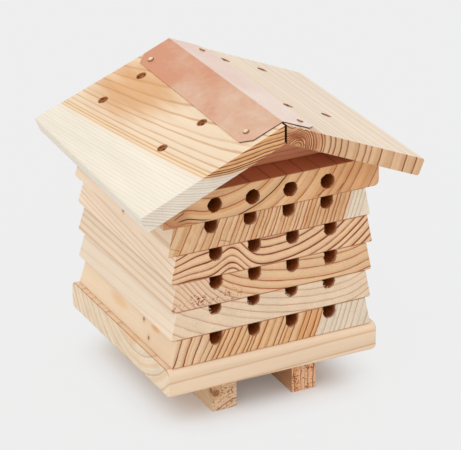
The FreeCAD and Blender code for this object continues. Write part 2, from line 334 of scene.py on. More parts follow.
@dataclass
class Log:
    """How a piece lay in its log, in millimetres across, through and along the grain."""
    pith: tuple  # middle of the growth rings, across and through
    lies: tuple = along_back
    ring: float = 4.0  # width of a year's growth
    rings: tuple = ()  # radius of each dark ring, where known
    drift: tuple = (0.0, 0.0)  # of the pith, per millimetre along the grain
    wander: float = 0.8  # waviness of the rings
    humps: tuple = ()  # (across, through, half width, rise, its growth upwards)
    sap: float = 1000.0  # radius at which pale sapwood starts
    side: tuple = rgb(0.86, 0.69, 0.515)
    end: tuple = rgb(0.82, 0.53, 0.30)
    sap_side: tuple = rgb(0.87, 0.79, 0.66)
    sap_end: tuple = rgb(0.78, 0.65, 0.50)
    late_side: tuple = rgb(0.66, 0.41, 0.22)  # the dark line of a year
    late_end: tuple = rgb(0.36, 0.125, 0.055)
    late_sap: tuple = rgb(0.50, 0.35, 0.22)
    dark_side: float = 0.6  # how dark the line is
    dark_end: float = 0.9
    late_start: float = 0.5  # share of a year before the wood darkens
    soft_side: float = 0.3  # how far it darkens before the line
    soft_end: float = 0.3
    width: float = 0.8  # half width of the lines of known rings, on the ends
    width_side: float = 0.7  # and on the sides
    flush: float = 0.5  # how far some years are redder, on the ends
    bands: tuple = ()  # (inner radius, outer radius, colour, share) of streaks
    specks: tuple = ()  # (across, through, half width, half height, share): torn pores
    shakes: tuple = ()  # (radius, from, to across) of cracks along a ring
    checks: tuple = ()  # (across, through, to across, to through, share): fine cracks
    stains: tuple = ()  # (middle, half sizes, colour, share) of resin and heart stains
    knots: tuple = ()  # (across, through, along, radius, darkness)
    upper: tuple = ()  # painted shade: colour of the upper face, which lies in shade under the roof
    seam: tuple = rgb(0.42, 0.17, 0.075)  # painted shade on the edges where it meets other pieces


class Pine(Coat):
    """Bare pine. Its rings, fibres and knots run through the piece, so that all its faces agree."""

    def __init__(self, name, log):
        super().__init__(name)
        self.log = log
        self.facing = self.node("TexCoord", {}, {}, "Normal")
        on_roof = log.lies in (along_left_roof, along_right_roof)
        start = UP * (ridge_height if on_roof else 0)
        self.across, self.through, self.along = [
            self.dot(self.spot, way / MM) - start.dot(way) for way in log.lies]
        self.place = self.node("CombineXYZ", {}, {0: self.across, 1: self.through, 2: self.along})
        self.end = self.rise(abs(self.dot(self.facing, log.lies[2])), *end_tilt)
        self.shade = self.clouds(self.place, shade_size, 3.0)
        self.fibres = self.clouds(self.place, fibre_size, 3.0)
        self.pores = self.clouds(self.place, pore_size)
        self.patches = self.clouds(self.place, patch_size)
        self.grow()

        colour = self.clear_wood()
        for layer in (self.stained, self.lined, self.knotted, self.cracked, self.worked):
            colour = layer(colour)
        height = self.fibres * 0.6 + self.late * 0.4 + self.end * self.pores * 0.8
        bump = self.node("Bump", {}, {"Strength": 0.35, "Distance": 0.15 * MM, "Height": height})
        roughness = 0.52 + 0.2 * self.end + 0.12 * (self.shade - 0.5)
        self.surface({"Base Color": colour, "Roughness": roughness, "Normal": bump,
                      "Specular IOR Level": 0.35})

    def grow(self):
        """Works out the rings: radius, dark lines, and wood that darkens towards each line."""
        log = self.log
        out_across = self.across - log.pith[0] - self.along * log.drift[0]
        out_through = self.through - log.pith[1] - self.along * log.drift[1]
        radius = self.math("SQRT", out_across * out_across + out_through * out_through)
        radius = radius + (self.clouds(self.place, slow_waver) - 0.5) * (4 * log.wander)
        radius = radius + (self.clouds(self.place, quick_waver) - 0.5) * (0.8 * log.wander)
        for middle, level, half_width, height, growth in log.humps:
            off = (self.across - middle) / half_width
            hump = self.math("EXPONENT", 0 - off * off)
            radius = radius + hump * (height + growth * (self.through - level))

        if log.rings:
            years = sum(self.rise(radius, inner, outer, "LINEAR")
                        for inner, outer in zip(log.rings, log.rings[1:]))
        else:
            years = radius / log.ring + 1.6 * self.waves(radius / (2.6 * log.ring))
        season = self.math("FRACT", years)
        in_year = self.fall(season, year_end, 1.0)
        if log.rings:
            half_line = log.width_side + self.end * (log.width - log.width_side)
            core = 0.3 * half_line
            line = sum(self.fall(abs(radius - ring), core, half_line) for ring in log.rings)
        else:
            line = self.rise(season, line_start, line_start + 0.12) * in_year
        strength = self.rise(self.waves(years * 0.8) + 0.5 * self.patches, 0.4, 0.9)
        soft = self.rise(season, log.late_start, 1.0) * in_year
        soft_share = log.soft_side + self.end * (log.soft_end - log.soft_side)
        self.radius = radius
        self.line = line
        self.late = soft * soft_share + line * (0.35 + 0.65 * strength)
        self.sap = self.rise(radius, log.sap - sap_blend, log.sap + sap_blend)

    def clear_wood(self):
        """Heartwood and sapwood. On the ends some years are redder than others."""
        log = self.log
        side = self.mix(self.sap, log.side, log.sap_side)
        end = self.mix(self.sap, log.end, log.sap_end)
        redder = self.mix(1.0, end, red_year, "MULTIPLY")
        mood = self.waves(self.radius / 4.5) + 0.3 * (self.patches - 0.5)
        end = self.mix(self.rise(mood, 0.42, 0.68) * (1 - self.sap) * log.flush, end, redder)
        return self.mix(self.end, side, end)

    def stained(self, colour):
        """Adds stains, and streaks along the rings."""
        for middle, half, tint, share in self.log.stains:
            inside = self.fall(self.off(self.place, middle, half) + (self.shade - 0.5), 0.3, 1.0)
            colour = self.mix(inside * share * (0.6 + 0.8 * self.fibres), colour, tint)
        streaks = self.rise(self.waves(self.radius / 1.4), 0.3, 0.65)
        for inner, outer, tint, share in self.log.bands:
            inside = self.between(self.radius, inner, inner + 2, outer - 1, outer)
            colour = self.mix(inside * streaks * share, colour, tint)
        return colour

    def lined(self, colour):
        """Adds the dark lines of the years, and the unevenness of fibres and pores."""
        log = self.log
        late_end = self.mix(self.sap, log.late_end, log.late_sap)
        dark = self.mix(self.end, log.late_side, late_end)
        dark_share = log.dark_side * (1 - 0.75 * self.sap) * (1 - self.end)
        dark_share = dark_share + log.dark_end * (1 - 0.25 * self.sap) * self.end
        colour = self.mix(self.late * dark_share, colour, dark)
        fine = self.waves(self.radius / 0.5)
        uneven = (self.pores - 0.5) * 0.42 + (fine - 0.5) * 0.24
        tone = 0.82 + 0.22 * self.shade + 0.14 * self.fibres + self.end * uneven
        return self.mix(1.0, colour, tone, "MULTIPLY")

    def knotted(self, colour):
        """Adds knots, each with a glow of resin round it."""
        for *middle, radius, darkness in self.log.knots:
            off = self.off(self.place, middle, (radius, radius, radius))
            colour = self.mix(self.fall(off, 0.8, 3.2) * 0.45, colour, knot_glow)
            colour = self.mix(self.fall(off, 0.5, 1.2) * darkness, colour, knot_core)
        return colour

    def cracked(self, colour):
        """Adds torn pores, cracks along the rings and fine straight cracks, on the ends."""
        log = self.log
        torn = self.clouds(self.place, torn_size, 1.0) + 0.45 * (self.patches - 0.5)
        torn = self.rise(torn, 0.58, 0.66)
        for middle, level, half_width, half_height, share in log.specks:
            off = self.off(self.place, (middle, level, 0), (half_width, half_height, 1000))
            inside = self.fall(off, 0.6, 1.1)
            colour = self.mix(inside * torn * self.end * share, colour, torn_pore)
        for shake_radius, start, stop in log.shakes:
            near = self.fall(abs(self.radius - shake_radius), 0.2, 0.55)
            inside = self.between(self.across, start - 2, start + 2, stop - 3, stop + 3)
            colour = self.mix(near * inside * self.end, colour, deep_crack)
        for across, through, to_across, to_through, share in log.checks:
            length = hypot(to_across - across, to_through - through)
            run, lift = (to_across - across) / length, (to_through - through) / length
            out_across, out_through = self.across - across, self.through - through
            down_line = out_across * run + out_through * lift
            near = self.fall(abs(out_across * lift - out_through * run), 0.15, 0.5)
            inside = self.between(down_line, -0.5, 1.0, length - 1.0, length + 0.5)
            colour = self.mix(near * inside * self.end * share, colour, fine_crack)
        return colour

    def worked(self, colour):
        """Adds painted shade on the upper face, bores browned by scorch and painted shade, and
        painted shade at seams.
        """
        log = self.log
        if log.upper:
            # painted shade on the upper face under the roof, with its ring lines darkened too
            painted_top_shade = self.rise(self.dot(self.facing, UP), 0.8, 0.95)
            colour = self.mix(painted_top_shade * 0.9, colour, log.upper)
            colour = self.mix(painted_top_shade * self.line * 0.4, colour, deep_crack)
        # bores: scorch, painted darker for the shade inside them
        burn_and_shade_tone = self.mix(self.rise(self.pores, 0.3, 0.7), burn_and_shade_dark, burn_and_shade_light)
        colour = self.mix(self.mark("burn_and_shade"), colour, burn_and_shade_tone)
        # painted shade along seams and in the roof boards' joint
        return self.mix(self.mark("seam") * 0.75, colour, log.seam)


def solid_of(node):
    """Shape of a CAD node, with the points of neighbouring faces joined."""
    shape = bmesh.new()
    shape.from_mesh(frame["nodes"][node].data)
    bmesh.ops.remove_doubles(shape, verts=shape.verts, dist=merge_reach * MM)
    return shape


def plain_solid_of(node):
    """Shape of a CAD node, with one face for each flat side."""
    shape = solid_of(node)
    bmesh.ops.dissolve_limit(shape, angle_limit=flat_turn, verts=shape.verts, edges=shape.edges)
    return shape


def cut(shape, point, way, faces=None):
    """Cuts faces, or the whole shape, along a plane, so that they have points there."""
    if faces is None:
        parts = shape.verts[:] + shape.edges[:] + shape.faces[:]
    else:
        verts = list(dict.fromkeys(vert for face in faces for vert in face.verts))
        edges = list(dict.fromkeys(edge for face in faces for edge in face.edges))
        parts = verts + edges + faces
    bmesh.ops.bisect_plane(shape, geom=parts, dist=merge_reach * MM, plane_co=point, plane_no=way)


def off_axis(offset, axis):
    """How far an offset reaches to the side of an axis."""
    return (offset - axis * offset.dot(axis)).length


def openings_of(node):
    """Name and full box of each hole or channel. The record gives the free room in them."""
    found = []
    for opening in frame["record"]["physics"]["openings"]:
        if opening["name"].startswith(node + "_"):
            low, high = [Vector(corner) for corner in opening["box_m"]]
            is_channel = "channel" in opening["name"]
            beside, below, above = channel_walls if is_channel else hole_walls
            low -= Vector((beside, 0, below)) * MM
            high += Vector((beside, 0, above)) * MM
            found.append((opening["name"], low, high))
    return found


def within(low, high, place):
    """True for a place in a box, or just at its sides."""
    return all(low[i] - wall_spare[i] <= place[i] <= high[i] + wall_spare[i] for i in range(3))


def divide_mouths(shape, front):
    """Gives channels and holes points where their brown changes, and along their upright rims."""
    for depth in (mouth_depth, burn_and_shade_depth, burn_and_shade_end):
        cut(shape, BACK * (front + depth * MM), BACK)
    shortest, longest = rim_edges
    rims = [edge for edge in shape.edges if shortest * MM < edge.calc_length() < longest * MM
            and all(vert.co.y < front + level_reach * MM for vert in edge.verts)
            and abs(edge.verts[0].co.x - edge.verts[1].co.x) < level_reach * MM]
    bmesh.ops.subdivide_edges(shape, edges=rims, cuts=rim_cuts)


def brown_bore(shape, burn_and_shade, seam, low, high):
    """Marks the sides of a hole or channel as browned by scorch and painted shade: less right at
    its rim, where it is lightened as painted light, and less far in.
    """
    for face in shape.faces:
        if face.normal.y > front_tilt and within(low, high, face.calc_center_median()):
            face[seam] = 0.0
            for loop in face.loops:
                inwards = (loop.vert.co.y - low.y) / MM
                past = max(0.0, inwards - burn_and_shade_depth)
                faded = min(1.0, past / (burn_and_shade_end - burn_and_shade_depth))
                # the lips of the mouth are lightened, as painted light
                painted_light = mouth_pale * max(0.0, 1 - inwards / mouth_depth)
                loop[burn_and_shade] = 1 - (1 - burn_and_shade_left) * faded - painted_light


def chip_mouth(shape, name, low, high):
    """Chips the rim of a hole or channel unevenly, as a worn cutter leaves it."""
    middle_x, half_width = (low.x + high.x) / 2, (high.x - low.x) / 2
    middle_z = low.z + half_width
    chip = torn_chips.get(name, mouth_chip) * MM
    reach = chip_reach * MM
    large, small = [size * MM for size in chip_sizes]
    for vert in shape.verts:
        if vert.co.y > low.y + reach:
            continue
        out = Vector((vert.co.x - middle_x, 0, vert.co.z - middle_z))
        if "channel" in name:
            out.z = min(out.z, 0)
        if out.length < half_width + reach and low.z - reach < vert.co.z <= high.z + reach:
            bite = noise.noise(vert.co / large) + 0.5 * noise.noise(vert.co / small)
            vert.co += out.normalized() * chip * max(0.0, bite + chip_least)


def round_under_end(shape):
    """Cuts a board's right end into strips, and draws its lower edge onto a quarter circle."""
    radius = base_end_round * MM
    middle_x = max(vert.co.x for vert in shape.verts) - radius
    middle_z = min(vert.co.z for vert in shape.verts) + radius
    strips = [radius * step / base_end_steps for step in range(base_end_steps)]
    for strip in strips:
        cut(shape, RIGHT * (middle_x + strip), RIGHT)
    for strip in strips:
        end = [face for face in shape.faces if face.calc_center_median().x > middle_x]
        cut(shape, UP * (middle_z - strip), UP, end)
    for vert in shape.verts:
        out, down = vert.co.x - middle_x, middle_z - vert.co.z
        if out > 0 and down > 0:
            drawn_in = max(out, down) / hypot(out, down)
            vert.co.x, vert.co.z = middle_x + out * drawn_in, middle_z - down * drawn_in


def darken_ridge_joint(shape, burn_and_shade, seam):
    """Marks the faces where the roof boards meet, for painted shade in the joint."""
    for face in shape.faces:
        at_ridge = abs(face.calc_center_median().x) < joint_reach * MM
        face[seam] = float(at_ridge and abs(face.normal.x) > joint_tilt)
        for loop in face.loops:
            loop[burn_and_shade] = face[seam]


def brown_screw_holes(shape, burn_and_shade, node, axis):
    """Marks the holes in which the heads of a node's screws are sunk, for scorch and painted shade.
    """
    for top, depth in fixing_places(node, axis):
        for face in shape.faces:
            if off_axis(face.calc_center_median() - top, axis) < screw_hole * MM:
                for loop in face.loops:
                    loop[burn_and_shade] = screw_hole_brown


def worked_wood(node):
    """A wooden piece with eased edges and chipped mouths, marked for scorch and painted shade in
    bores, and for painted shade at seams.
    """
    shape = plain_solid_of(node)
    burn_and_shade = shape.loops.layers.float.new("burn_and_shade")
    seam = shape.faces.layers.float.new("seam")
    openings = openings_of(node)
    if openings:
        divide_mouths(shape, front=openings[0][1].y)

    def at_opening(edge):
        middle = (edge.verts[0].co + edge.verts[1].co) / 2
        return any(within(low, high, middle) for name, low, high in openings)

    sharp = [edge for edge in shape.edges if edge.is_convex
             and edge.calc_face_angle(0.0) > eased_turn and not at_opening(edge)]
    eased = bmesh.ops.bevel(shape, geom=sharp, offset=edge_ease * MM, segments=edge_steps,
                            profile=0.5, affect="EDGES", clamp_overlap=False)["faces"]
    # eased edges along seams between pieces get painted shade
    if node.startswith(("tray", "top_block", "base")):
        for face in eased:
            face[seam] = float(abs(face.normal.z) > seam_tilt)
    if node == "base_board":
        round_under_end(shape)
    if node in roof_fixings:
        darken_ridge_joint(shape, burn_and_shade, seam)
        brown_screw_holes(shape, burn_and_shade, *roof_fixings[node])
    for name, low, high in openings:
        brown_bore(shape, burn_and_shade, seam, low, high)
        chip_mouth(shape, name, low, high)
    return shape


def add_piece(node, ending, shape, material, crease=None):
    """Adds a shape as a piece of a CAD node that moves with it, smooth below the crease."""
    name = node + "_" + ending
    mesh = bpy.data.meshes.new(name)
    shape.to_mesh(mesh)
    shape.free()
    if crease:
        mesh.shade_smooth()
        mesh.set_sharp_from_angle(angle=crease)
    mesh.materials.append(material)
    piece = bpy.data.objects.new(name, mesh)
    bpy.context.scene.collection.objects.link(piece)
    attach(piece, body_of[node])
    return piece


def fixing_places(node, axis):
    """Top middle and depth of each fixing in a CAD node, whose heads face along the axis."""
    shape = solid_of(node)
    unseen = dict.fromkeys(shape.verts)
    places = []
    while unseen:
        found = [unseen.popitem()[0]]
        for vert in found:
            for edge in vert.link_edges:
                other = edge.other_vert(vert)
                if other in unseen:
                    del unseen[other]
                    found.append(other)
        heights = [vert.co.dot(axis) for vert in found]
        highest = max(heights)
        lowest_top = highest - top_reach * MM
        tops = [vert.co for vert, height in zip(found, heights) if height > lowest_top]
        places.append((sum(tops, Vector()) / len(tops), highest - min(heights)))
    shape.free()
    return sorted(places, key=lambda place: tuple(place[0]))


def pin_places(node):
    """Top middle, depth and axis of each pin. It stands square to its own side of the roof."""
    return [(top, depth, axis) for axis in (left_face, right_face)
            for top, depth in fixing_places(node, axis) if top.x * axis.x > 0]


def turn(shape, outline, top, axis):
    """Adds a closed turned piece, from (radius, height) rings in millimetres above its top."""
    side = axis.orthogonal().normalized()
    other = axis.cross(side)
    roll = top.y / MM  # so that no two recesses stand alike
    rings = []
    for radius, height in outline:
        ring = []
        for step in range(turned_steps):
            angle = 2 * pi * step / turned_steps
            reach = radius(angle) if callable(radius) else radius
            if reach or not ring:
                angle += roll
                out = side * cos(angle) + other * sin(angle)
                ring.append(shape.verts.new(top + (axis * height + out * reach) * MM))
        rings.append(ring)
    for lower, upper in zip(rings, rings[1:]):
        for step in range(turned_steps):
            corners = [ring[(step + k) % len(ring)]
                       for ring, k in ((lower, 0), (lower, 1), (upper, 1), (upper, 0))]
            shape.faces.new(list(dict.fromkeys(corners)))


def cross_reach(share):
    """Outline of a driver's cross, as a reach for each angle."""
    def reach(angle):
        from_arm = abs((angle + pi / 4) % (pi / 2) - pi / 4)
        return share * min(cross_arm / cos(from_arm), cross_half_width / max(sin(from_arm), 0.01))
    return reach


def screws(node, axis, material):
    """Sunk screws with a cross recess and a thread."""
    shape = bmesh.new()
    root = screw_shank * thread_root
    neck_share, neck_depth = screw_neck
    foot_share, foot_depth = cross_foot
    for top, depth in fixing_places(node, axis):
        length = depth / MM
        outline = [(0, -length)]
        for step in range(int((length - screw_point - screw_bare) / thread_pitch)):
            start = screw_point - length + step * thread_pitch
            crest, stop = [start + share * thread_pitch for share in thread_crest]
            outline += [(root, start), (screw_shank, crest), (root, stop)]
        outline += [(screw_shank * neck_share, -neck_depth),
                    (screw_shank, screw_shank - screw_head), (screw_head, 0),
                    (cross_reach(1.0), 0), (cross_reach(foot_share), -foot_depth), (0, -cross_tip)]
        turn(shape, outline, top, axis)
    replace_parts(add_piece(node, "cut", shape, material), node)


def pins(node, material):
    """Round-headed pins with heads flattened a little by the hammer, and painted shade round the
    rim.
    """
    shape = bmesh.new()
    rim = shape.faces.layers.float.new("rim")
    dark_start, dark_growth = pin_painted_shade
    for top, depth, axis in pin_places(node):
        length = depth / MM
        outline = [(0, -length), (pin_shank, pin_point - length), (pin_shank, -pin_underside),
                   (pin_head, -pin_underside)]
        turn(shape, outline + [(radius, -down) for radius, down in pin_crown], top, axis)
        # painted shade on the outer part of each head
        for face in shape.faces:
            off = face.calc_center_median() - top
            if off.length < 2 * pin_head * MM:
                share = off_axis(off, axis) / (pin_head * MM)
                face[rim] = min(1.0, max(0.0, share - dark_start) * dark_growth)
    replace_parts(add_piece(node, "struck", shape, material, pin_crease), node)


def cap_sheet(node, material):
    """The ridge cap as hand-bent sheet: slightly buckled, with painted shade on its sheared edges.
    """
    shape = plain_solid_of(node)
    rim = shape.faces.layers.float.new("rim")
    # sheared edges get painted shade
    for face in shape.faces:
        flatness = max(abs(face.normal.dot(way)) for way in (left_face, right_face, UP))
        face[rim] = float(flatness < sheet_flat)
    ridge = UP * ridge_height * MM
    for along in sheet_cuts:
        cut(shape, BACK * along * MM, BACK)
    for slope in (left_slope, right_slope):
        for down in wing_cuts:
            cut(shape, ridge + slope * down * MM, slope)
    heads = [top for top, depth, axis in pin_places("ridge_cap_pins")]
    down_size, along_size = swell_sizes
    for vert in shape.verts:
        left = vert.co.x < 0
        slope, face = (left_slope, left_face) if left else (right_slope, right_face)
        down = (vert.co - ridge).dot(slope) / MM
        spot = (down / down_size + slope.x * swell_shift, vert.co.y / (along_size * MM), 0)
        swell = 0.5 + 0.5 * noise.noise(Vector(spot))
        free = min(1.0, max(0.0, down - swell_start) / swell_rise)
        held = min(1.0, min((vert.co - head).length for head in heads) / (pin_hold * MM))
        vert.co += face * swell * sheet_swell * MM * free * held
    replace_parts(add_piece(node, "sheet", shape, material, sheet_crease), node)


def splinters(node, material):
    """Torn fibres that stand in the lower left of each channel's mouth."""
    chance = Random(splinter_seed)
    shape = bmesh.new()
    burn_and_shade = shape.faces.layers.float.new("burn_and_shade")
    for name, low, high in openings_of(node):
        half_width = (high.x - low.x) / 2
        middle = Vector(((low.x + high.x) / 2, low.y, low.z + half_width))
        for tooth in range(splinters_each):
            sweep = splinter_sweep * (tooth + chance.random()) / splinters_each
            angle = radians(splinter_start + sweep)
            out = Vector((cos(angle), 0, sin(angle)))
            round_rim = Vector((-out.z, 0, out.x))
            root = middle + out * (half_width + splinter_sunk * MM)
            root = root + BACK * chance.uniform(*splinter_root) * MM
            tip = root - out * chance.uniform(*splinter_length) * MM
            tip = tip + round_rim * chance.uniform(*splinter_lean) * MM
            tip = tip + BACK * chance.uniform(*splinter_tip) * MM
            half = chance.uniform(*splinter_half) * MM
            foot = [shape.verts.new(root + round_rim * half * a + BACK * splinter_thick * MM * b)
                    for a, b in ((-1, -1), (1, -1), (1, 1), (-1, 1))]
            point = shape.verts.new(tip)
            shape.faces.new(foot)
            for k in range(4):
                shape.faces.new((foot[(k + 1) % 4], foot[k], point))
    for face in shape.faces:
        face[burn_and_shade] = splinter_brown
    bmesh.ops.recalc_face_normals(shape, faces=shape.faces)
    add_piece(node, "splinters", shape, material)


class Metal(Coat):
    """Metal with soft clouds of tarnish and fine rubbing marks."""

    def __init__(self, name, lump, roughness):
        super().__init__(name)
        self.roughness = roughness
        self.tarnish = self.clouds(self.spot, Vector((lump, 1.6 * lump, lump)) * MM, 3.0)
        self.rubbed = self.clouds(self.spot, Vector((1.5, 30, 1.5)) * MM)

    def polish(self, colour, share, others):
        """Ends the metal, with its colour, its share of tarnish and the shader's other sockets."""
        bump = self.node("Bump", {}, {"Strength": 0.05, "Distance": 0.06 * MM,
                                      "Height": self.rubbed})
        roughness = self.roughness + 0.14 * (share - 0.5) + 0.08 * (self.rubbed - 0.5)
        self.surface({"Base Color": colour, "Roughness": roughness, "Normal": bump, **others})


def plain_metal(name, bright, dull, lump, roughness):
    """Metal that is dull where it has tarnished."""
    metal = Metal(name, lump, roughness)
    share = metal.rise(metal.tarnish, 0.35, 0.7)
    metal.polish(metal.mix(share, bright, dull), share, {"Metallic": 1.0})
    return metal.material


def edged_metal(name, bright, dull, edge, lump, roughness, metallic=1.0, towards_back=0.0,
                painted_light=None, coat=0.0):
    """Tarnished metal with painted shade on its rims. It can be duller towards the back, and paler
    on its right as a painted reflection.
    """
    metal = Metal(name, lump, roughness)
    rim = metal.mark("rim")
    specks = metal.clouds(metal.spot, Vector((lump, lump, lump)) * (0.18 * MM))
    tarnish = metal.tarnish + 0.3 * (specks - 0.5)
    if towards_back:
        tarnish = tarnish + towards_back * metal.rise(metal.dot(metal.spot, BACK), -0.06, 0.07)
    share = metal.rise(tarnish, 0.3, 0.8, "LINEAR")
    colour = metal.mix(share, bright, dull)
    # paler on the right, as a painted reflection
    if painted_light:
        on_right = metal.rise(metal.dot(metal.spot, RIGHT), -MM, MM)
        colour = metal.mix(on_right * 0.65, colour, painted_light)
    # painted shade on the rims
    colour = metal.mix(rim * 0.95, colour, edge)
    metal.polish(colour, share, {"Metallic": metallic * (1 - 0.9 * rim), "Coat Roughness": 0.35,
                                 "Coat Weight": coat * (1 - rim) if coat else 0.0})
    return metal.material


